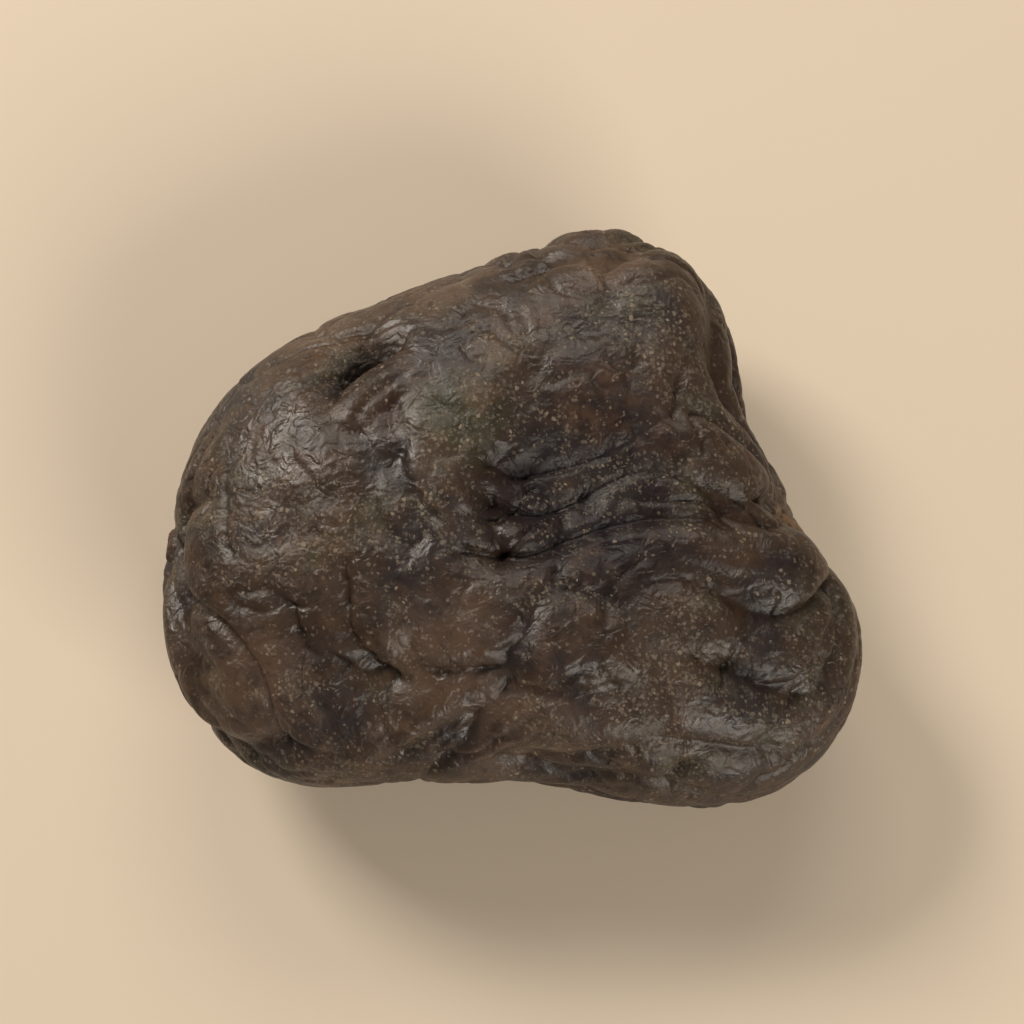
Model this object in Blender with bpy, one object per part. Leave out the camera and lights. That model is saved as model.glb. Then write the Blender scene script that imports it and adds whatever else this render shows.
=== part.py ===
"""A dried plum that lies on its broad side, made as one closed solid.

The frame is in metres with +Z up. +X points to the stem end, and the fruit rests on Z = 0.
Each point of a sphere is moved out to the fruit's skin in four steps: a flattened round body,
lobes and hollows that give it its outline, folds that run from the stem end to the apex, and
shorter wrinkles across the folds. A few creases of the upper face have places of their own.
"""

import math

import bmesh
import bpy
import numpy as np

MM = 0.001

# Size of the dried fruit as it lies
LENGTH = 42 * MM
WIDTH = 35.5 * MM
THICKNESS = 16.5 * MM
FLAT_DEPTH = 0.7 * MM  # how far its weight has pressed its lowest bulge flat

# The round body before it shrinks: half sizes, and how square its sections are
HALF_SIZES = np.array([21, 16.5, 9.8]) * MM
OUTLINE_SQUARENESS = 2.1
SECTION_SQUARENESS = 2.25

# Lobes and hollows of the whole body: azimuth and elevation on the fruit in degrees,
# share of the radius that they add (negative is a hollow) and spread in degrees
LOBES = (
    (66, 4, 0.23, 18),  # shoulder behind the stem cavity
    (320, -2, 0.22, 19),  # shoulder in front of the stem cavity
    (22, 4, -0.20, 16),  # waist between the shoulders
    (2, 2, -0.12, 7),  # stem cavity
    (215, 0, 0.17, 19),  # full cheek in front of the apex
    (268, 0, -0.07, 18),  # slack flank in front
    (124, 0, -0.05, 18),  # flattened flank behind the apex
    (15, 64, -0.20, 20),  # hollow in the middle of the upper face
    (160, 50, 0.08, 24),  # full part of the upper face towards the apex
    (290, 42, 0.08, 16),  # roll along the front of the upper face
    (75, -50, -0.12, 20),  # hollow under the far side
    (210, -42, -0.08, 18),  # hollow under the apex
    (175, -78, 0.05, 24),  # full belly that it rests on
)

# Where its weight presses it on what it lies on: azimuth, elevation and spread in degrees
BELLY = (175, -78, 22)

# Where the skin stays taut: azimuth, elevation, spread in degrees, and the share of their depth
# that its folds and wrinkles lose there
TAUT_PLACES = (
    (120, 24, 18, 0.85),  # slope behind the apex
    (128, 2, 14, 0.65),  # rim below that slope
    (102, 3, 13, 0.65),  # rim on its way to the shoulder behind
    (160, 8, 14, 0.7),  # round end behind the apex
    (20, 62, 16, 0.45),  # hollow in the middle of the upper face
    (318, 42, 16, 0.4),  # top of the shoulder in front
)

# Folds that run from the stem end to the apex, and wrinkles across them:
# wavelength, depth, how tight the creases are, and how much longer than wide the ridges are
FOLDS = {"wavelength": 10 * MM, "depth": 2.5 * MM, "tightness": 0.55, "stretch": 2.6}
WRINKLES = {"wavelength": 5.6 * MM, "depth": 1.05 * MM, "tightness": 0.5, "stretch": 1.4}
CREASE_FLOOR = 0.08  # rounds the bottom of each crease, as a share of its field
MOST_DEPTH = 4 * MM  # that creases draw the skin in where they meet
DRUM_RADIUS = 10.5 * MM  # of the drum round the stem axis on which the folds are laid out
SEED = 24

# The folds gather into pleats round the stem axis: how many, how far they lean to and fro,
# over what wavelength, and how much of the folds' field is pleats and how much is noise
PLEAT_COUNT = 8
PLEAT_SWAY = 2.6
PLEAT_WAVELENGTH = 22 * MM
PLEAT_SHARE = 0.75
NOISE_SHARE = 0.6

# A slow drift that bends the folds, the wrinkles and the creases with places of their own
DRIFT_WAVELENGTH = 15 * MM
FOLD_DRIFT = 1.1 * MM
WRINKLE_DRIFT = 0.5 * MM
CREASE_DRIFT = 0.4 * MM

# Heights above the middle of the body over which the upper face begins and the rim ends
FACE_HEIGHTS = (2 * MM, 8 * MM)
RIM_HEIGHTS = (1.5 * MM, 6.5 * MM)

# Shares of their depth that folds and wrinkles lose on the full upper face and round the rim,
# and that all creases lose on the belly
FACE_FOLD_LOSS = 0.25
FACE_WRINKLE_LOSS = 0.1
RIM_FOLD_LOSS = 0.45
RIM_WRINKLE_LOSS = 0.75
BELLY_LOSS = 0.8

# Creases with places of their own on the upper face: middle, heading in degrees, half length,
# bend, width and depth, in millimetres from the middle of the body
FACE_CREASES = (
    {"at": (-10.3, 9.4), "heading": 38, "reach": 3.8, "bend": -0.08, "width": 0.8, "depth": 2.6},
    {"at": (-7.3, 5.8), "heading": 80, "reach": 1.8, "bend": 0.1, "width": 0.5, "depth": 1.0},
    {"at": (-13.0, -0.8), "heading": 80, "reach": 1.8, "bend": 0.1, "width": 0.45, "depth": 0.7},
    {"at": (6.3, 0.7), "heading": 82, "reach": 2.4, "bend": 0.06, "width": 0.5, "depth": 1.1},
    {"at": (9.2, 0.3), "heading": 105, "reach": 2.0, "bend": -0.08, "width": 0.5, "depth": 0.9},
    {"at": (-10.5, -9.6), "heading": -22, "reach": 6.5, "bend": 0.03, "width": 0.7, "depth": 1.3},
    {"at": (3.0, -11.6), "heading": 6, "reach": 6.5, "bend": -0.02, "width": 0.7, "depth": 1.0},
)
FACE_CREASE_FLOOR = 0.3  # rounds the bottom of each, in millimetres

# Finest triangles that the form is worked out on, and how many are kept
SPHERE_LEVEL = 7
SPHERE_TRIANGLES = 20 * 4 ** (SPHERE_LEVEL - 1)
KEPT_TRIANGLES = 11400

SKIN_COLOUR = (0.05, 0.032, 0.023, 1)
SKIN_ROUGHNESS = 0.42


def direction(azimuth, elevation):
    """Unit vector for an azimuth from +X and an elevation from the XY plane, in degrees."""
    a, e = math.radians(azimuth), math.radians(elevation)
    return np.array([math.cos(a) * math.cos(e), math.sin(a) * math.cos(e), math.sin(e)])


def smooth_step(x, low, high):
    t = np.clip((x - low) / (high - low), 0, 1)
    return t * t * (3 - 2 * t)


def smooth_noise(points, wavelength, seed, stretch=1, waves=32):
    """A smooth random field of about unit size, longer along X where stretch is over 1."""
    draw = np.random.RandomState(seed)
    headings = draw.normal(size=(waves, 3))
    headings /= np.linalg.norm(headings, axis=1)[:, None]
    headings[:, 0] /= stretch
    rates = 2 * math.pi / (wavelength * draw.uniform(0.7, 1.4, waves))
    phases = draw.uniform(0, 2 * math.pi, waves)
    return np.sin(points @ (headings * rates[:, None]).T + phases).sum(1) * math.sqrt(2 / waves)


def round_body(d):
    """Points of the flattened round body in the unit directions d."""
    x, y, z = np.abs(d / HALF_SIZES).T
    outline = (x**OUTLINE_SQUARENESS + y**OUTLINE_SQUARENESS) ** (1 / OUTLINE_SQUARENESS)
    section = (outline**SECTION_SQUARENESS + z**SECTION_SQUARENESS) ** (1 / SECTION_SQUARENESS)
    return d / section[:, None]


def bump(d, azimuth, elevation, spread):
    """1 at one place on the fruit, falling to 0 over a few times the spread in degrees."""
    angle = np.arccos(np.clip(d @ direction(azimuth, elevation), -1, 1))
    return np.exp(-0.5 * (angle / math.radians(spread)) ** 2)


def lobed_body(d):
    """The round body with its lobes and hollows, still without folds."""
    share = np.ones(len(d))
    for azimuth, elevation, rise, spread in LOBES:
        share += rise * bump(d, azimuth, elevation, spread)
    return round_body(d) * share[:, None]


def around_axis(body):
    """Each point's angle round the X axis, and its share of the way out from there to the rim."""
    x, y, z = (body / HALF_SIZES).T
    return np.arctan2(z, y), np.clip(np.hypot(y, z), 0, 1)


def on_drum(body):
    """Each point's place on a drum round the X axis, on which waves become folds from end to end."""
    around, out = around_axis(body)
    radius = DRUM_RADIUS * out**0.4
    return np.stack([body[:, 0], radius * np.cos(around), radius * np.sin(around)], 1)


def pleats(body):
    """Waves round the X axis that lean to and fro on their way from end to end."""
    around, out = around_axis(body)
    sway = PLEAT_SWAY * smooth_noise(body, PLEAT_WAVELENGTH, SEED + 3)
    return np.sin(PLEAT_COUNT * around + sway) * smooth_step(out, 0, 0.5)


def creases(field, depth, tightness):
    """Depth of creases that follow the zero lines of a field, with round ridges between them."""
    return depth * np.exp(-np.hypot(field, CREASE_FLOOR) / tightness)


def patches(points, seed, wavelength, stretch):
    """1 where creases are at their full depth, falling to 0 where they fade out."""
    return smooth_step(smooth_noise(points, wavelength * 1.3, seed, stretch), -1.2, 0.9)


def fold_creases(drum, body):
    field = NOISE_SHARE * smooth_noise(drum, FOLDS["wavelength"], SEED, FOLDS["stretch"])
    field += PLEAT_SHARE * pleats(body)
    fading = patches(drum, SEED + 1, FOLDS["wavelength"], FOLDS["stretch"])
    return creases(field, FOLDS["depth"], FOLDS["tightness"]) * fading


def crease_net(points, seed, wavelength, depth, tightness, stretch):
    field = smooth_noise(points, wavelength, seed, stretch)
    return creases(field, depth, tightness) * patches(points, seed + 1, wavelength, stretch)


def taut_share(d):
    """Share of their depth that folds and wrinkles keep where the skin is taut."""
    kept = np.ones(len(d))
    for azimuth, elevation, spread, loss in TAUT_PLACES:
        kept *= 1 - loss * bump(d, azimuth, elevation, spread)
    return kept


def face_creases(body):
    """Depth of the creases that have places of their own on the upper face."""
    depth = np.zeros(len(body))
    x, y, z = (body / MM).T
    above = smooth_step(z, 0, 3)
    for crease in FACE_CREASES:
        heading = math.radians(crease["heading"])
        dx, dy = x - crease["at"][0], y - crease["at"][1]
        along = dx * math.cos(heading) + dy * math.sin(heading)
        aside = dy * math.cos(heading) - dx * math.sin(heading) - crease["bend"] * along**2
        taper = np.clip(1 - (along / crease["reach"]) ** 2, 0, 1)
        slope = np.exp(-np.hypot(aside, FACE_CREASE_FLOOR) / crease["width"])
        depth += crease["depth"] * MM * above * taper * slope
    return depth


def fold_depth(d, body):
    """How far folds, wrinkles and placed creases draw the skin in at each point of the body."""
    drift = np.stack([smooth_noise(body, DRIFT_WAVELENGTH, SEED + 10 + i) for i in range(3)], 1)
    other_drift = drift[:, ::-1]
    drum = on_drum(body) + drift * FOLD_DRIFT
    face = smooth_step(body[:, 2], *FACE_HEIGHTS)
    rim = 1 - smooth_step(np.abs(body[:, 2]), *RIM_HEIGHTS)
    folds = fold_creases(drum, body)
    folds *= (1 - FACE_FOLD_LOSS * face) * (1 - RIM_FOLD_LOSS * rim)
    wrinkles = crease_net(drum + other_drift * WRINKLE_DRIFT, SEED + 20, **WRINKLES)
    wrinkles *= (1 - FACE_WRINKLE_LOSS * face) * (1 - RIM_WRINKLE_LOSS * rim)
    placed = face_creases(body + other_drift * CREASE_DRIFT)
    depth = (folds + wrinkles) * taut_share(d) + placed
    depth = MOST_DEPTH * np.tanh(depth / MOST_DEPTH)
    return depth * (1 - BELLY_LOSS * bump(d, *BELLY))


def skin_points(d):
    """Points of the fruit's skin in the unit directions d, before it is sized and set down."""
    body = lobed_body(d)
    radius = np.linalg.norm(body, axis=1)
    return body * (1 - fold_depth(d, body) / radius)[:, None]


def sized(points):
    """Scales the fruit to its size, over the middle of the floor and FLAT_DEPTH below it."""
    low, high = points.min(0), points.max(0)
    size = np.array([LENGTH, WIDTH, THICKNESS + FLAT_DEPTH])
    points = (points - (low + high) / 2) * size / (high - low)
    points[:, 2] += (THICKNESS - FLAT_DEPTH) / 2
    return points


def skin_material():
    material = bpy.data.materials.new("prune_skin")
    material.use_nodes = True
    shader = material.node_tree.nodes["Principled BSDF"]
    shader.inputs["Base Color"].default_value = SKIN_COLOUR
    shader.inputs["Roughness"].default_value = SKIN_ROUGHNESS
    shader.inputs["Metallic"].default_value = 0
    return material


def sphere_mesh():
    sphere = bmesh.new()
    bmesh.ops.create_icosphere(sphere, subdivisions=SPHERE_LEVEL, radius=1)
    mesh = bpy.data.meshes.new("fine_skin")
    sphere.to_mesh(mesh)
    sphere.free()
    return mesh


def coordinates(mesh):
    flat = np.empty(len(mesh.vertices) * 3, np.float32)
    mesh.vertices.foreach_get("co", flat)
    return flat.reshape(-1, 3).astype(float)


def move_to(mesh, points):
    mesh.vertices.foreach_set("co", points.astype(np.float32).ravel())
    mesh.update()


def with_fewer_triangles(obj):
    """The object's mesh with its flatter stretches made of fewer, larger triangles."""
    fewer = obj.modifiers.new("fewer_triangles", "DECIMATE")
    fewer.ratio = KEPT_TRIANGLES / SPHERE_TRIANGLES
    graph = bpy.context.evaluated_depsgraph_get()
    mesh = bpy.data.meshes.new_from_object(obj.evaluated_get(graph))
    obj.modifiers.remove(fewer)
    return mesh


def press_flat(mesh):
    """Lays what hangs below Z = 0 on it, which leaves the small flat that the fruit rests on."""
    points = coordinates(mesh)
    points[:, :2] -= (points[:, :2].min(0) + points[:, :2].max(0)) / 2
    points[:, 2] = np.maximum(points[:, 2], 0)
    move_to(mesh, points)


def make_prune(collection):
    mesh = sphere_mesh()
    outward = coordinates(mesh) * HALF_SIZES
    outward /= np.linalg.norm(outward, axis=1)[:, None]
    move_to(mesh, sized(skin_points(outward)))
    prune = bpy.data.objects.new("prune", mesh)
    collection.objects.link(prune)
    prune.data = with_fewer_triangles(prune)
    press_flat(prune.data)
    prune.data.name = "prune"
    prune.data.shade_smooth()
    prune.data.materials.append(skin_material())
    bpy.data.meshes.remove(mesh)
    return prune


def main():
    for old in list(bpy.data.objects):
        bpy.data.objects.remove(old)
    collection = bpy.data.collections.new("prune")
    bpy.context.scene.collection.children.link(collection)
    make_prune(collection)


main()
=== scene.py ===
"""The looks of the prune: its fine skin, its colours and gloss, and a plain studio to see it in.

The skin is worked out by the part's own formula on a finer mesh and fitted to the part's box.
Two finer nets of wrinkles and two corky scars are added to it. The depth of every crease is
kept on the mesh, where the material reads it.
"""

import math

import bmesh
import bpy
import numpy as np
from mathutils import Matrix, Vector

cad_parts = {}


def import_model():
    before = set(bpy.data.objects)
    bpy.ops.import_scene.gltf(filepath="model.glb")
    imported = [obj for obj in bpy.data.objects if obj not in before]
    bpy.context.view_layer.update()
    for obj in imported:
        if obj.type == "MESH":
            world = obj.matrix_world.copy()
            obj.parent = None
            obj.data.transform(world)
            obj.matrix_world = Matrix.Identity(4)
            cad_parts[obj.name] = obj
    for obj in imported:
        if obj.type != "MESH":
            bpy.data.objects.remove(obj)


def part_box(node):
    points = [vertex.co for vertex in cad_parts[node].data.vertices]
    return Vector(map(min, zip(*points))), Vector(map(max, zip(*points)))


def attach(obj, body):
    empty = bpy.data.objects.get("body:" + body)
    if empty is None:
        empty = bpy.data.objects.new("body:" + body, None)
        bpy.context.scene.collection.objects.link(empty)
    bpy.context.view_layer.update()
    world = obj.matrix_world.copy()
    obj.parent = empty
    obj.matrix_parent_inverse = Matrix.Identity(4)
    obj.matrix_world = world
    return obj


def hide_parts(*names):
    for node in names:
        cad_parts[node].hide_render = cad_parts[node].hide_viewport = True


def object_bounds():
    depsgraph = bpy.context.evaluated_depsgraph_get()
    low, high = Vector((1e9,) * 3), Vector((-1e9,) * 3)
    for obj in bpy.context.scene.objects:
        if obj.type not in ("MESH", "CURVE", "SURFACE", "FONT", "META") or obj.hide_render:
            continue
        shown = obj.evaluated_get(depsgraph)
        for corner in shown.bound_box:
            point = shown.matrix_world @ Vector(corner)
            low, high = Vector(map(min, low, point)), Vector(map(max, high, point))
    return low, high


MM = 0.001

# How far its weight has pressed its lowest bulge flat. This and the form below are as in the part
FLAT_DEPTH = 0.7 * MM

# The round body before it shrinks: half sizes, and how square its sections are
HALF_SIZES = np.array([21, 16.5, 9.8]) * MM
OUTLINE_SQUARENESS = 2.1
SECTION_SQUARENESS = 2.25

# Lobes and hollows of the whole body: azimuth and elevation on the fruit in degrees,
# share of the radius that they add (negative is a hollow) and spread in degrees
LOBES = (
    (66, 4, 0.23, 18),  # shoulder behind the stem cavity
    (320, -2, 0.22, 19),  # shoulder in front of the stem cavity
    (22, 4, -0.20, 16),  # waist between the shoulders
    (2, 2, -0.12, 7),  # stem cavity
    (215, 0, 0.17, 19),  # full cheek in front of the apex
    (268, 0, -0.07, 18),  # slack flank in front
    (124, 0, -0.05, 18),  # flattened flank behind the apex
    (15, 64, -0.20, 20),  # hollow in the middle of the upper face
    (160, 50, 0.08, 24),  # full part of the upper face towards the apex
    (290, 42, 0.08, 16),  # roll along the front of the upper face
    (75, -50, -0.12, 20),  # hollow under the far side
    (210, -42, -0.08, 18),  # hollow under the apex
    (175, -78, 0.05, 24),  # full belly that it rests on
)

# Where its weight presses it on what it lies on: azimuth, elevation and spread in degrees
BELLY = (175, -78, 22)

# Where the skin stays taut: azimuth, elevation, spread in degrees, and the share of their depth
# that its folds and wrinkles lose there
TAUT_PLACES = (
    (120, 24, 18, 0.85),  # slope behind the apex
    (128, 2, 14, 0.65),  # rim below that slope
    (102, 3, 13, 0.65),  # rim on its way to the shoulder behind
    (160, 8, 14, 0.7),  # round end behind the apex
    (20, 62, 16, 0.45),  # hollow in the middle of the upper face
    (318, 42, 16, 0.4),  # top of the shoulder in front
)

# Folds that run from the stem end to the apex, and wrinkles across them:
# wavelength, depth, how tight the creases are, and how much longer than wide the ridges are
FOLDS = {"wavelength": 10 * MM, "depth": 2.5 * MM, "tightness": 0.55, "stretch": 2.6}
WRINKLES = {"wavelength": 5.6 * MM, "depth": 1.05 * MM, "tightness": 0.5, "stretch": 1.4}
CREASE_FLOOR = 0.08  # rounds the bottom of each crease, as a share of its field
MOST_DEPTH = 4 * MM  # that creases draw the skin in where they meet
DRUM_RADIUS = 10.5 * MM  # of the drum round the stem axis on which the folds are laid out
SEED = 24

# The folds gather into pleats round the stem axis: how many, how far they lean to and fro,
# over what wavelength, and how much of the folds' field is pleats and how much is noise
PLEAT_COUNT = 8
PLEAT_SWAY = 2.6
PLEAT_WAVELENGTH = 22 * MM
PLEAT_SHARE = 0.75
NOISE_SHARE = 0.6

# A slow drift that bends the folds, the wrinkles and the creases with places of their own
DRIFT_WAVELENGTH = 15 * MM
FOLD_DRIFT = 1.1 * MM
WRINKLE_DRIFT = 0.5 * MM
CREASE_DRIFT = 0.4 * MM

# Heights above the middle of the body over which the upper face begins and the rim ends
FACE_HEIGHTS = (2 * MM, 8 * MM)
RIM_HEIGHTS = (1.5 * MM, 6.5 * MM)

# Shares of their depth that folds and wrinkles lose on the full upper face and round the rim,
# and that all creases lose on the belly
FACE_FOLD_LOSS = 0.25
FACE_WRINKLE_LOSS = 0.1
RIM_FOLD_LOSS = 0.45
RIM_WRINKLE_LOSS = 0.75
BELLY_LOSS = 0.8

# Creases with places of their own on the upper face: middle, heading in degrees, half length,
# bend, width and depth, in millimetres from the middle of the body
FACE_CREASES = (
    {"at": (-10.3, 9.4), "heading": 38, "reach": 3.8, "bend": -0.08, "width": 0.8, "depth": 2.6},
    {"at": (-7.3, 5.8), "heading": 80, "reach": 1.8, "bend": 0.1, "width": 0.5, "depth": 1.0},
    {"at": (-13.0, -0.8), "heading": 80, "reach": 1.8, "bend": 0.1, "width": 0.45, "depth": 0.7},
    {"at": (6.3, 0.7), "heading": 82, "reach": 2.4, "bend": 0.06, "width": 0.5, "depth": 1.1},
    {"at": (9.2, 0.3), "heading": 105, "reach": 2.0, "bend": -0.08, "width": 0.5, "depth": 0.9},
    {"at": (-10.5, -9.6), "heading": -22, "reach": 6.5, "bend": 0.03, "width": 0.7, "depth": 1.3},
    {"at": (3.0, -11.6), "heading": 6, "reach": 6.5, "bend": -0.02, "width": 0.7, "depth": 1.0},
)
FACE_CREASE_FLOOR = 0.3  # rounds the bottom of each, in millimetres

# What only the fine skin has: a net of small wrinkles and a net of the finest ones, both bent
# by a quick drift and shallower where the skin is not folded
SMALL_WRINKLES = {"wavelength": 3.0 * MM, "depth": 0.7 * MM, "tightness": 0.42, "stretch": 1.7}
FINEST_WRINKLES = {"wavelength": 1.5 * MM, "depth": 0.22 * MM, "tightness": 0.45, "stretch": 1.4}
QUICK_DRIFT_WAVELENGTH = 4 * MM
QUICK_DRIFT = 0.25 * MM
SLACK_DEPTHS = (0.2 * MM, 1.6 * MM)  # of the folds, over which these wrinkles deepen fully
LEAST_SLACK = 0.5  # share of their depth that they keep where the skin is not folded
SQUARES_PER_SIDE = 128  # of the cube whose faces become the skin

# Corky scars where the stalk and the flower were: azimuth and elevation in degrees, and radius.
# The other measures are shares of that radius
SCARS = ((1, 1, 1.3 * MM), (181, -1, 0.5 * MM))
SCAR_PIT = 0.35
SCAR_PIT_SLOPE = (0.2, 0.9)
SCAR_RIM = 0.2
SCAR_RIM_WIDTH = 0.3
SCAR_CORK_EDGE = (0.75, 1.25)

# Colours of the skin
BROWN = (0.031, 0.017, 0.0095, 1)
PURPLE = (0.010, 0.008, 0.011, 1)
OLIVE = (0.030, 0.029, 0.014, 1)
RED = (0.024, 0.005, 0.003, 1)
# Painted glow: a lighter brown on the thin ridges, standing in for light that shines through them
RIDGE_GLOW = (0.085, 0.044, 0.024, 1)
# Near black: for random dark spots, and as painted shade in the deep folds, the small wrinkles and the
# crescent
DARK_SPOT_AND_CREASE_SHADE = (0.004, 0.002, 0.0015, 1)
# Painted light: a paler pinkish brown for the places near the face's top and bottom edges where light
# falls
PAINTED_LIGHT = (0.090, 0.054, 0.034, 1)
BLOOM = (0.30, 0.24, 0.175, 1)
CORK = (0.20, 0.12, 0.065, 1)

# Places of the upper face with looks of their own: middle, in millimetres, and radius
PURPLE_HOLLOW = ((3.5, 0, 14), 10 * MM)
OLIVE_PATCH = ((-3.2, 4, 15.8), 4 * MM)
RED_CREASES = ((-7, 4.5, 15), 5 * MM)
# Where a deep crease is painted near black as shade
CRESCENT = ((-9.4, 7.2, 13.5), 4.5 * MM)
# Places near the face's top and bottom edges that are paled with painted light
PAINTED_LIGHT_PLACES = (
    ((-4, -10, 14), 5 * MM),
    ((1, -14, 13), 5 * MM),
    ((-15.7, -11.8, 12.5), 5 * MM),
    ((-12, 10, 12), 3.5 * MM),
    ((-4, 13, 12), 3.5 * MM),
    ((5, 15, 12), 4 * MM),
)
DUSTY_PLACES = (
    ((8.5, 9, 13.5), 5 * MM),
    ((9, -12, 13.5), 6 * MM),
    ((-14, -2, 14.5), 5 * MM),
)
PLACE_CORE = 0.3  # share of its radius inside which a place has its full look
PLACE_STRENGTH = 0.9
PAINTED_LIGHT_STRENGTH = 0.65

# Blotches of noise: size, detail, roughness and warp, the noise values over which they fade in,
# and how strong they are at most
PURPLE_BLOTCHES = {"size": 8 * MM, "warp": 0.4, "fade": (0.48, 0.62), "most": 0.7}
OLIVE_BLOTCHES = {"size": 5 * MM, "detail": 4, "warp": 0.6, "fade": (0.54, 0.68), "most": 0.6}
RIDGE_BLOTCHES = {
    "size": 2.4 * MM, "detail": 6, "roughness": 0.65, "fade": (0.42, 0.70), "most": 0.55
}
DARK_BLOTCHES = {
    "size": 1.5 * MM, "detail": 5, "roughness": 0.65, "warp": 0.4, "fade": (0.5, 0.66), "most": 0.55
}
CORK_BLOTCHES = {"size": 0.5 * MM, "detail": 5, "roughness": 0.7, "fade": (0.3, 0.6)}
BLOOM_BLOTCHES = {
    "size": 5 * MM, "detail": 6, "roughness": 0.7, "warp": 0.5, "fade": (0.42, 0.64)
}

# Depths over which a look comes in, as shares of a full fold and wrinkle together
# The painted glow on the ridges comes in over the first of these depths
RIDGE_GLOW_DEPTHS = (0.22, 0.02)
RED_DEPTHS = (0.08, 0.35)
CRESCENT_DEPTHS = (0.15, 0.35)
# Over these depths the deep folds are painted near black as shade
CREASE_SHADE_DEPTHS = (0.35, 0.85)
BLOOM_DEPTHS = (0.45, 0.2)
DULL_DEPTHS = (0.15, 0.6)

# Depths over which small wrinkles are darkened with painted shade, as shares of a full one, and how
# strong that painted shade is
WRINKLE_SHADE_DEPTHS = (0.15, 0.8)
WRINKLE_SHADE_STRENGTH = 0.8

# Bloom: grains of fine dust and of larger specks, one to a cell. Spacing of the cells, largest
# radius in cells, and the shares of the cells that have a grain outside and inside the patches
DUST = {"spacing": 0.2 * MM, "radius": 0.7, "fewest": 0.1, "most": 0.75}
SPECKS = {"spacing": 0.36 * MM, "radius": 0.44, "fewest": 0.01, "most": 0.55}
GRAIN_SCATTER = 0.9  # of the spacing
GRAIN_EDGE = 0.12  # width of its soft edge, in cells
SMALLEST_GRAIN = 0.35  # share of the largest radius
FAINTEST_GRAIN = 0.35  # share of the strongest grain
DUST_STRENGTH = 0.5
FILM_STRENGTH = 0.07  # of the thin film between the grains
BLOOM_COVER = 0.55  # how much of the skin's colour the strongest grain hides
BLOOM_HEIGHT = 0.03 * MM
BLOOM_ROUGHNESS = 0.25  # that it adds

# Relief finer than the mesh: size and height
RIDGELET_SIZE = 1.1 * MM
RIDGELET_HEIGHT = 0.05 * MM
RIDGELET_RISE = 0.25  # from the noise's middle value, over which a ridgelet rises
PORE_SIZE = 0.28 * MM
PORE_HEIGHT = 0.035 * MM

# Roughness of the moistest and of the driest skin, in patches of a size, and the noise values
# at which they are reached
SATIN = (0.32, 0.48)
SATIN_SIZE = 1.8 * MM
SATIN_FADE = (0.3, 0.7)

# Specular level of open skin and of deep folds, and the shares of it left in two places
SKIN_GLOSS = 0.45
FOLD_GLOSS = 0.1
HOLLOW_GLOSS = 0.5
CRESCENT_GLOSS = 0.4

# Light that the flesh under the skin lets through
FLESH_GLOW = 0.1
FLESH_GLOW_COLOUR = (1.0, 0.35, 0.15)
FLESH_GLOW_DEPTH = 1.2 * MM

# The camera looks down on the face, at the photographed angle
VIEW_AZIMUTH = 0
VIEW_ELEVATION = 78
LENS = 100
SHARE_OF_FRAME = 0.68  # that the fruit's length fills

# The sheet that it lies on, in metres
FLOOR_COLOUR = (0.62, 0.53, 0.42, 1)
FLOOR_ROUGHNESS = 0.6
FLOOR_REACH = 1.5  # to the front and the sides
BACKDROP_AT = 0.8
BACKDROP_HEIGHT = 0.7
BEND_RADIUS = 0.4
BEND_STEPS = 24

# The light of the room, and the softboxes: place, width and depth in metres, and power in watts
ROOM_COLOUR = (1.0, 0.93, 0.84, 1)
ROOM_STRENGTH = 0.16
LAMP_COLOUR = (1.0, 0.92, 0.82)
LAMPS_AIM = (0, 0, 8 * MM)
SOFTBOXES = {
    "key": ((-0.30, 0.30, 0.32), 0.18, 0.14, 2.3),
    "fill": ((0.28, -0.36, 0.28), 0.32, 0.20, 2.0),
    "rim": ((0.04, 0.40, 0.33), 0.34, 0.16, 0.95),
}


def direction(azimuth, elevation):
    """Unit vector for an azimuth from +X and an elevation from the XY plane, in degrees."""
    a, e = math.radians(azimuth), math.radians(elevation)
    return np.array([math.cos(a) * math.cos(e), math.sin(a) * math.cos(e), math.sin(e)])


def smooth_step(x, low, high):
    t = np.clip((x - low) / (high - low), 0, 1)
    return t * t * (3 - 2 * t)


def smooth_noise(points, wavelength, seed, stretch=1, waves=32):
    """A smooth random field of about unit size, longer along X where stretch is over 1."""
    draw = np.random.RandomState(seed)
    headings = draw.normal(size=(waves, 3))
    headings /= np.linalg.norm(headings, axis=1)[:, None]
    headings[:, 0] /= stretch
    rates = 2 * math.pi / (wavelength * draw.uniform(0.7, 1.4, waves))
    phases = draw.uniform(0, 2 * math.pi, waves)
    return np.sin(points @ (headings * rates[:, None]).T + phases).sum(1) * math.sqrt(2 / waves)


def round_body(d):
    """Points of the flattened round body in the unit directions d."""
    x, y, z = np.abs(d / HALF_SIZES).T
    outline = (x**OUTLINE_SQUARENESS + y**OUTLINE_SQUARENESS) ** (1 / OUTLINE_SQUARENESS)
    section = (outline**SECTION_SQUARENESS + z**SECTION_SQUARENESS) ** (1 / SECTION_SQUARENESS)
    return d / section[:, None]


def bump(d, azimuth, elevation, spread):
    """1 at one place on the fruit, falling to 0 over a few times the spread in degrees."""
    angle = np.arccos(np.clip(d @ direction(azimuth, elevation), -1, 1))
    return np.exp(-0.5 * (angle / math.radians(spread)) ** 2)


def lobed_body(d):
    """The round body with its lobes and hollows, still without folds."""
    share = np.ones(len(d))
    for azimuth, elevation, rise, spread in LOBES:
        share += rise * bump(d, azimuth, elevation, spread)
    return round_body(d) * share[:, None]


def around_axis(body):
    """Each point's angle round the X axis, and its share of the way out from there to the rim."""
    x, y, z = (body / HALF_SIZES).T
    return np.arctan2(z, y), np.clip(np.hypot(y, z), 0, 1)


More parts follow.
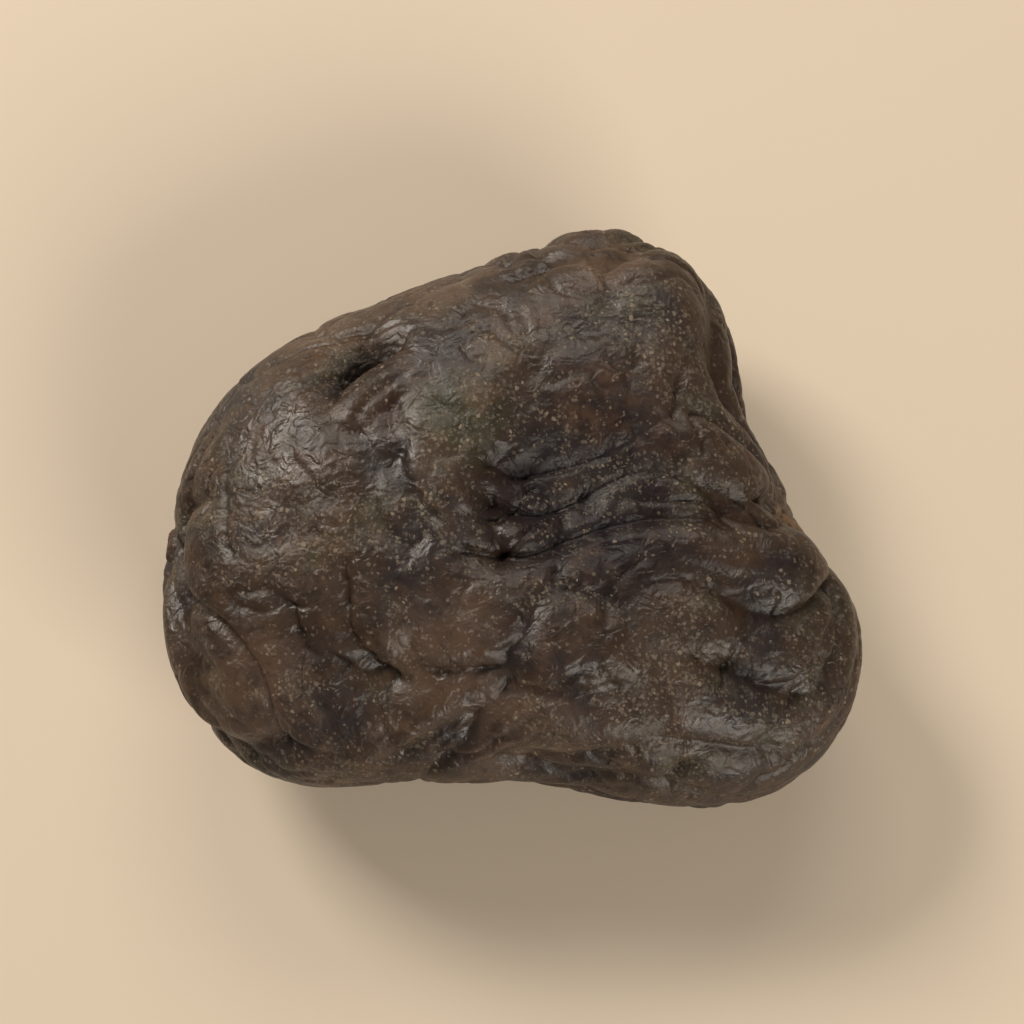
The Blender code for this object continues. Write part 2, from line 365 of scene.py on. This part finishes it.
def on_drum(body):
    """Each point's place on a drum round the X axis, on which waves become folds from end to end."""
    around, out = around_axis(body)
    radius = DRUM_RADIUS * out**0.4
    return np.stack([body[:, 0], radius * np.cos(around), radius * np.sin(around)], 1)


def pleats(body):
    """Waves round the X axis that lean to and fro on their way from end to end."""
    around, out = around_axis(body)
    sway = PLEAT_SWAY * smooth_noise(body, PLEAT_WAVELENGTH, SEED + 3)
    return np.sin(PLEAT_COUNT * around + sway) * smooth_step(out, 0, 0.5)


def creases(field, depth, tightness):
    """Depth of creases that follow the zero lines of a field, with round ridges between them."""
    return depth * np.exp(-np.hypot(field, CREASE_FLOOR) / tightness)


def patches(points, seed, wavelength, stretch):
    """1 where creases are at their full depth, falling to 0 where they fade out."""
    return smooth_step(smooth_noise(points, wavelength * 1.3, seed, stretch), -1.2, 0.9)


def fold_creases(drum, body):
    field = NOISE_SHARE * smooth_noise(drum, FOLDS["wavelength"], SEED, FOLDS["stretch"])
    field += PLEAT_SHARE * pleats(body)
    fading = patches(drum, SEED + 1, FOLDS["wavelength"], FOLDS["stretch"])
    return creases(field, FOLDS["depth"], FOLDS["tightness"]) * fading


def crease_net(points, seed, wavelength, depth, tightness, stretch):
    field = smooth_noise(points, wavelength, seed, stretch)
    return creases(field, depth, tightness) * patches(points, seed + 1, wavelength, stretch)


def taut_share(d):
    """Share of their depth that folds and wrinkles keep where the skin is taut."""
    kept = np.ones(len(d))
    for azimuth, elevation, spread, loss in TAUT_PLACES:
        kept *= 1 - loss * bump(d, azimuth, elevation, spread)
    return kept


def face_creases(body):
    """Depth of the creases that have places of their own on the upper face."""
    depth = np.zeros(len(body))
    x, y, z = (body / MM).T
    above = smooth_step(z, 0, 3)
    for crease in FACE_CREASES:
        heading = math.radians(crease["heading"])
        dx, dy = x - crease["at"][0], y - crease["at"][1]
        along = dx * math.cos(heading) + dy * math.sin(heading)
        aside = dy * math.cos(heading) - dx * math.sin(heading) - crease["bend"] * along**2
        taper = np.clip(1 - (along / crease["reach"]) ** 2, 0, 1)
        slope = np.exp(-np.hypot(aside, FACE_CREASE_FLOOR) / crease["width"])
        depth += crease["depth"] * MM * above * taper * slope
    return depth


def drift_field(points, wavelength, seed):
    """A smooth random push for each point."""
    return np.stack([smooth_noise(points, wavelength, seed + i) for i in range(3)], 1)


def fold_depths(d, body):
    """Depth of the part's own folds and wrinkles, and of the small ones that only the skin has."""
    drift = drift_field(body, DRIFT_WAVELENGTH, SEED + 10)
    other_drift = drift[:, ::-1]
    drum = on_drum(body) + drift * FOLD_DRIFT
    face = smooth_step(body[:, 2], *FACE_HEIGHTS)
    rim = 1 - smooth_step(np.abs(body[:, 2]), *RIM_HEIGHTS)
    folds = fold_creases(drum, body)
    folds *= (1 - FACE_FOLD_LOSS * face) * (1 - RIM_FOLD_LOSS * rim)
    wrinkles = crease_net(drum + other_drift * WRINKLE_DRIFT, SEED + 20, **WRINKLES)
    wrinkles *= (1 - FACE_WRINKLE_LOSS * face) * (1 - RIM_WRINKLE_LOSS * rim)
    placed = face_creases(body + other_drift * CREASE_DRIFT)
    depth = (folds + wrinkles) * taut_share(d) + placed
    pressed = 1 - BELLY_LOSS * bump(d, *BELLY)
    depth = MOST_DEPTH * np.tanh(depth / MOST_DEPTH) * pressed

    quick_drift = QUICK_DRIFT * drift_field(body, QUICK_DRIFT_WAVELENGTH, SEED + 40)
    small = crease_net(drum + quick_drift, SEED + 50, **SMALL_WRINKLES)
    finest = crease_net(body + quick_drift, SEED + 60, **FINEST_WRINKLES)
    slack = LEAST_SLACK + (1 - LEAST_SLACK) * smooth_step(depth, *SLACK_DEPTHS)
    return depth, (small + finest) * slack * pressed


def scars(d, body):
    """Depth of the scars' pits and rims, and 1 where their cork shows."""
    depth, cork = np.zeros(len(d)), np.zeros(len(d))
    for azimuth, elevation, radius in SCARS:
        angle = np.arccos(np.clip(d @ direction(azimuth, elevation), -1, 1))
        away = angle * np.linalg.norm(body, axis=1) / radius
        pit = SCAR_PIT * (1 - smooth_step(away, *SCAR_PIT_SLOPE))
        rim = SCAR_RIM * np.exp(-(((away - 1) / SCAR_RIM_WIDTH) ** 2))
        depth += radius * (pit - rim)
        cork = np.maximum(cork, 1 - smooth_step(away, *SCAR_CORK_EDGE))
    return depth, cork


def drawn_in(body, depth):
    """The body's points moved towards its middle by depth."""
    radius = np.linalg.norm(body, axis=1)
    return body * (1 - depth / radius)[:, None]


def fitted(points, form, box):
    """Moves points as the part moves its form: scaled to its box, and pressed flat below."""
    low, high = form.min(0), form.max(0)
    size = np.array(box[1]) - np.array(box[0]) + [0, 0, FLAT_DEPTH]
    points = (points - (low + high) / 2) * size / (high - low)
    points += (np.array(box[0]) + np.array(box[1]) - [0, 0, FLAT_DEPTH]) / 2
    points[:, 2] = np.maximum(points[:, 2], box[0][2])
    return points


def even_sphere(name, squares):
    """A unit sphere of nearly equal squares, made from a cube."""
    cube = bmesh.new()
    bmesh.ops.create_cube(cube, size=2)
    bmesh.ops.subdivide_edges(cube, edges=cube.edges[:], cuts=squares - 1, use_grid_fill=True)
    mesh = bpy.data.meshes.new(name)
    cube.to_mesh(mesh)
    cube.free()
    at = coordinates(mesh)
    at = np.tan(at * math.pi / 4)
    move_to(mesh, at / np.linalg.norm(at, axis=1)[:, None])
    return mesh


def coordinates(mesh):
    flat = np.empty(len(mesh.vertices) * 3, np.float32)
    mesh.vertices.foreach_get("co", flat)
    return flat.reshape(-1, 3).astype(float)


def move_to(mesh, points):
    mesh.vertices.foreach_set("co", points.astype(np.float32).ravel())
    mesh.update()


def keep_on_mesh(mesh, name, values):
    """Keeps one number a vertex on the mesh, for the material to read."""
    mesh.attributes.new(name, "FLOAT", "POINT").data.foreach_set("value", values.astype(np.float32))


def make_skin():
    mesh = even_sphere("prune_skin", SQUARES_PER_SIDE)
    d = coordinates(mesh) * HALF_SIZES
    d /= np.linalg.norm(d, axis=1)[:, None]
    body = lobed_body(d)
    depth, fine = fold_depths(d, body)
    scar_depth, cork = scars(d, body)
    form = drawn_in(body, depth)
    fine = fine * (1 - cork) + scar_depth
    move_to(mesh, fitted(drawn_in(body, depth + fine), form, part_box("prune")))
    keep_on_mesh(mesh, "fold", depth / (FOLDS["depth"] + WRINKLES["depth"]))
    keep_on_mesh(mesh, "wrinkle", fine / SMALL_WRINKLES["depth"])
    keep_on_mesh(mesh, "cork", cork)
    mesh.shade_smooth()
    skin = bpy.data.objects.new("prune_skin", mesh)
    bpy.context.scene.collection.objects.link(skin)
    return skin


class Nodes:
    """Short calls for building one material's nodes."""

    def __init__(self, name):
        self.material = bpy.data.materials.new(name)
        self.material.use_nodes = True
        self.tree = self.material.node_tree
        self.shader = self.tree.nodes["Principled BSDF"]
        self.place = self.add("ShaderNodeTexCoord").outputs["Object"]

    def add(self, kind, **settings):
        node = self.tree.nodes.new(kind)
        for key, value in settings.items():
            setattr(node, key, value)
        return node

    def put(self, value, socket):
        """Links a socket, or sets a plain value."""
        if isinstance(value, bpy.types.NodeSocket):
            self.tree.links.new(value, socket)
        else:
            socket.default_value = value

    def shade(self, **inputs):
        """Sets the shader's inputs, named with underscores for spaces."""
        for name, value in inputs.items():
            self.put(value, self.shader.inputs[name.replace("_", " ")])

    def kept(self, name):
        """A number that was kept on the mesh."""
        return self.add("ShaderNodeAttribute", attribute_name=name).outputs["Fac"]

    def math(self, operation, *values):
        node = self.add("ShaderNodeMath", operation=operation)
        for socket, value in zip(node.inputs, values):
            self.put(value, socket)
        return node.outputs[0]

    def times(self, a, b):
        return self.math("MULTIPLY", a, b)

    def ramp(self, value, low, high, to_low=0.0, to_high=1.0):
        node = self.add("ShaderNodeMapRange", interpolation_type="SMOOTHSTEP")
        for socket, number in zip(node.inputs, (value, low, high, to_low, to_high)):
            self.put(number, socket)
        return node.outputs[0]

    def noise(self, size, detail=3.0, roughness=0.55, warp=0.0):
        """Noise whose blotches are about size across, from 0 to 1."""
        node = self.add("ShaderNodeTexNoise")
        self.put(self.place, node.inputs["Vector"])
        self.put(1 / size, node.inputs["Scale"])
        self.put(detail, node.inputs["Detail"])
        self.put(roughness, node.inputs["Roughness"])
        self.put(warp, node.inputs["Distortion"])
        return node.outputs["Fac"]

    def blotches(self, size, fade, most=1.0, **noise):
        """Blotches that come in from 0 to most where their noise passes the values of the fade."""
        return self.ramp(self.noise(size, **noise), *fade, 0, most)

    def stirred(self, size, reach):
        """The place, pushed to and fro by up to about reach, over blotches of the size."""
        push = self.add("ShaderNodeTexNoise")
        self.put(self.place, push.inputs["Vector"])
        self.put(1 / size, push.inputs["Scale"])
        scaled = self.add("ShaderNodeVectorMath", operation="MULTIPLY_ADD")
        self.put(push.outputs["Color"], scaled.inputs[0])
        self.put((reach, reach, reach), scaled.inputs[1])
        self.put(self.place, scaled.inputs[2])
        return scaled.outputs["Vector"]

    def cells(self, size, where):
        node = self.add("ShaderNodeTexVoronoi")
        self.put(where, node.inputs["Vector"])
        self.put(1 / size, node.inputs["Scale"])
        return node

    def near(self, middle, radius):
        """1 at a place whose middle is in millimetres, falling to 0 with a ragged edge at its radius."""
        away = self.add("ShaderNodeVectorMath", operation="DISTANCE")
        self.put(self.stirred(radius, radius), away.inputs[0])
        # Stirring pushes by half the reach on average, so the middle moves along
        self.put([v * MM + radius / 2 for v in middle], away.inputs[1])
        return self.ramp(away.outputs["Value"], radius, radius * PLACE_CORE)

    def mix(self, share, a, b):
        """Colour a with a share of b. The colour sockets share their names, so they go by number."""
        node = self.add("ShaderNodeMix", data_type="RGBA")
        self.put(share, node.inputs["Factor"])
        self.put(a, node.inputs[6])
        self.put(b, node.inputs[7])
        return node.outputs[2]

    def bump(self, height, distance, normal=None):
        node = self.add("ShaderNodeBump")
        self.put(height, node.inputs["Height"])
        self.put(distance, node.inputs["Distance"])
        if normal is not None:
            self.put(normal, node.inputs["Normal"])
        return node.outputs[0]


def skin_colour(n):
    """Warm near-black, with purple and olive patches and dark red creases; a browner painted glow on the
    thin ridges, painted light in pale places, and painted shade in the creases and wrinkles.
    """
    fold = n.kept("fold")
    colour = n.mix(n.blotches(**PURPLE_BLOTCHES), BROWN, PURPLE)
    colour = n.mix(n.blotches(**OLIVE_BLOTCHES), colour, OLIVE)
    colour = n.mix(n.times(n.near(*PURPLE_HOLLOW), PLACE_STRENGTH), colour, PURPLE)
    colour = n.mix(n.times(n.near(*OLIVE_PATCH), PLACE_STRENGTH), colour, OLIVE)
    # Painted glow of light through the thin ridges, in blotches
    ridges = n.times(n.ramp(fold, *RIDGE_GLOW_DEPTHS), n.blotches(**RIDGE_BLOTCHES))
    colour = n.mix(ridges, colour, RIDGE_GLOW)
    # Painted light: paler patches near the face's top and bottom edges
    for place in PAINTED_LIGHT_PLACES:
        colour = n.mix(n.times(n.near(*place), PAINTED_LIGHT_STRENGTH), colour, PAINTED_LIGHT)
    colour = n.mix(n.blotches(**DARK_BLOTCHES), colour, DARK_SPOT_AND_CREASE_SHADE)
    red_creases = n.times(n.near(*RED_CREASES), n.ramp(fold, *RED_DEPTHS))
    colour = n.mix(red_creases, colour, RED)
    # Painted shade in the small wrinkles
    wrinkles = n.ramp(n.kept("wrinkle"), *WRINKLE_SHADE_DEPTHS, 0, WRINKLE_SHADE_STRENGTH)
    colour = n.mix(wrinkles, colour, DARK_SPOT_AND_CREASE_SHADE)
    # Painted shade in the crescent crease
    crescent = n.times(n.near(*CRESCENT), n.ramp(fold, *CRESCENT_DEPTHS))
    colour = n.mix(crescent, colour, DARK_SPOT_AND_CREASE_SHADE)
    # Painted shade in the deep folds
    colour = n.mix(n.ramp(fold, *CREASE_SHADE_DEPTHS), colour, DARK_SPOT_AND_CREASE_SHADE)
    cork = n.times(n.kept("cork"), n.blotches(**CORK_BLOTCHES))
    return n.mix(cork, colour, CORK)


def grains(n, patches, spacing, radius, fewest, most):
    """Small uneven grains, few outside the patches and most of them inside."""
    cells = n.cells(spacing, n.stirred(spacing, spacing * GRAIN_SCATTER))
    draw = n.add("ShaderNodeSeparateColor")
    n.put(cells.outputs["Color"], draw.inputs[0])
    own_radius = n.ramp(draw.outputs[1], 0, 1, radius * SMALLEST_GRAIN, radius)
    past_edge = n.math("SUBTRACT", cells.outputs["Distance"], own_radius)
    spot = n.ramp(past_edge, 0, -GRAIN_EDGE)
    shown = n.math("LESS_THAN", draw.outputs[0], n.ramp(patches, 0, 1, fewest, most))
    strength = n.ramp(draw.outputs[2], 0, 1, FAINTEST_GRAIN, 1)
    return n.times(n.times(spot, shown), strength)


def bloom(n):
    """Fine sugar bloom and dried juice: a dense dust in patches, with some larger grains."""
    patches = n.blotches(**BLOOM_BLOTCHES)
    for place in DUSTY_PLACES:
        patches = n.math("MAXIMUM", patches, n.times(n.near(*place), PLACE_STRENGTH))
    dust = n.times(grains(n, patches, **DUST), DUST_STRENGTH)
    specks = grains(n, patches, **SPECKS)
    film = n.times(patches, FILM_STRENGTH)
    lying = n.math("MAXIMUM", n.math("MAXIMUM", dust, specks), film)
    return n.times(lying, n.ramp(n.kept("fold"), *BLOOM_DEPTHS))


def ridgelets(n):
    """Height of rounded ridges, with sharp valleys where a noise passes its middle value."""
    noise = n.noise(RIDGELET_SIZE, detail=2, roughness=0.5, warp=0.5)
    from_middle = n.math("ABSOLUTE", n.math("SUBTRACT", noise, 0.5))
    return n.ramp(from_middle, 0, RIDGELET_RISE)


def skin_gloss(n):
    """Specular level, lower in the folds, in the purple hollow and in the crescent."""
    gloss = n.ramp(n.kept("fold"), *DULL_DEPTHS, SKIN_GLOSS, FOLD_GLOSS)
    gloss = n.times(gloss, n.ramp(n.near(*PURPLE_HOLLOW), 0, 1, 1, HOLLOW_GLOSS))
    return n.times(gloss, n.ramp(n.near(*CRESCENT), 0, 1, 1, CRESCENT_GLOSS))


def skin_material():
    n = Nodes("skin")
    dusted = bloom(n)
    relief = n.bump(ridgelets(n), RIDGELET_HEIGHT)
    relief = n.bump(n.noise(PORE_SIZE, detail=4, roughness=0.6), PORE_HEIGHT, relief)
    relief = n.bump(dusted, BLOOM_HEIGHT, relief)
    satin = n.ramp(n.noise(SATIN_SIZE, detail=4), *SATIN_FADE, *SATIN)
    n.shade(Base_Color=n.mix(n.times(dusted, BLOOM_COVER), skin_colour(n), BLOOM))
    n.shade(Roughness=n.math("ADD", satin, n.times(dusted, BLOOM_ROUGHNESS)))
    n.shade(Specular_IOR_Level=skin_gloss(n), Normal=relief)
    n.shade(Subsurface_Weight=FLESH_GLOW, Subsurface_Radius=FLESH_GLOW_COLOUR)
    n.shade(Subsurface_Scale=FLESH_GLOW_DEPTH)
    return n.material


def floor_material():
    n = Nodes("floor")
    n.shade(Base_Color=FLOOR_COLOUR, Roughness=FLOOR_ROUGHNESS)
    return n.material


def make_floor():
    """A pale sheet that runs back and bends up into the backdrop."""
    profile = [(-FLOOR_REACH, 0.0)]
    for i in range(BEND_STEPS + 1):
        turn = math.pi / 2 * i / BEND_STEPS
        y = BACKDROP_AT - BEND_RADIUS + BEND_RADIUS * math.sin(turn)
        profile.append((y, BEND_RADIUS * (1 - math.cos(turn))))
    profile.append((BACKDROP_AT, BACKDROP_HEIGHT))
    corners = [(x, y, z) for x in (-FLOOR_REACH, FLOOR_REACH) for y, z in profile]
    count = len(profile)
    faces = [(i, i + count, i + count + 1, i + 1) for i in range(count - 1)]
    mesh = bpy.data.meshes.new("floor")
    mesh.from_pydata(corners, [], faces)
    mesh.shade_smooth()
    mesh.materials.append(floor_material())
    floor = bpy.data.objects.new("floor", mesh)
    bpy.context.scene.collection.objects.link(floor)


def aim(obj, at):
    obj.rotation_euler = (Vector(at) - obj.location).to_track_quat("-Z", "Y").to_euler()


def softbox(name, place, width, depth, power):
    lamp = bpy.data.lights.new(name, "AREA")
    lamp.shape = "RECTANGLE"
    lamp.size = width
    lamp.size_y = depth
    lamp.energy = power
    lamp.color = LAMP_COLOUR
    obj = bpy.data.objects.new(name, lamp)
    obj.location = place
    aim(obj, LAMPS_AIM)
    bpy.context.scene.collection.objects.link(obj)


def light_studio():
    world = bpy.data.worlds.new("room")
    world.use_nodes = True
    background = world.node_tree.nodes["Background"]
    background.inputs["Color"].default_value = ROOM_COLOUR
    background.inputs["Strength"].default_value = ROOM_STRENGTH
    bpy.context.scene.world = world
    bpy.context.scene.view_settings.view_transform = "Standard"
    for name, box in SOFTBOXES.items():
        softbox(name, *box)


def make_camera(low, high):
    lens = bpy.data.cameras.new("camera")
    lens.lens = LENS
    lens.clip_start = 0.01
    camera = bpy.data.objects.new("camera", lens)
    a, e = math.radians(VIEW_AZIMUTH), math.radians(VIEW_ELEVATION)
    back = Vector((math.sin(a) * math.cos(e), -math.cos(a) * math.cos(e), math.sin(e)))
    middle = (Vector(low) + Vector(high)) / 2
    away = (high[0] - low[0]) / SHARE_OF_FRAME * LENS / lens.sensor_width
    camera.location = middle + back * away
    aim(camera, middle)
    bpy.context.scene.collection.objects.link(camera)
    bpy.context.scene.camera = camera


def dress():
    """Loads the part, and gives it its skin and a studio."""
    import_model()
    cad_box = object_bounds()
    skin = make_skin()
    skin.data.materials.append(skin_material())
    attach(skin, "root")
    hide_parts("prune")
    make_floor()
    light_studio()
    make_camera(*cad_box)


dress()
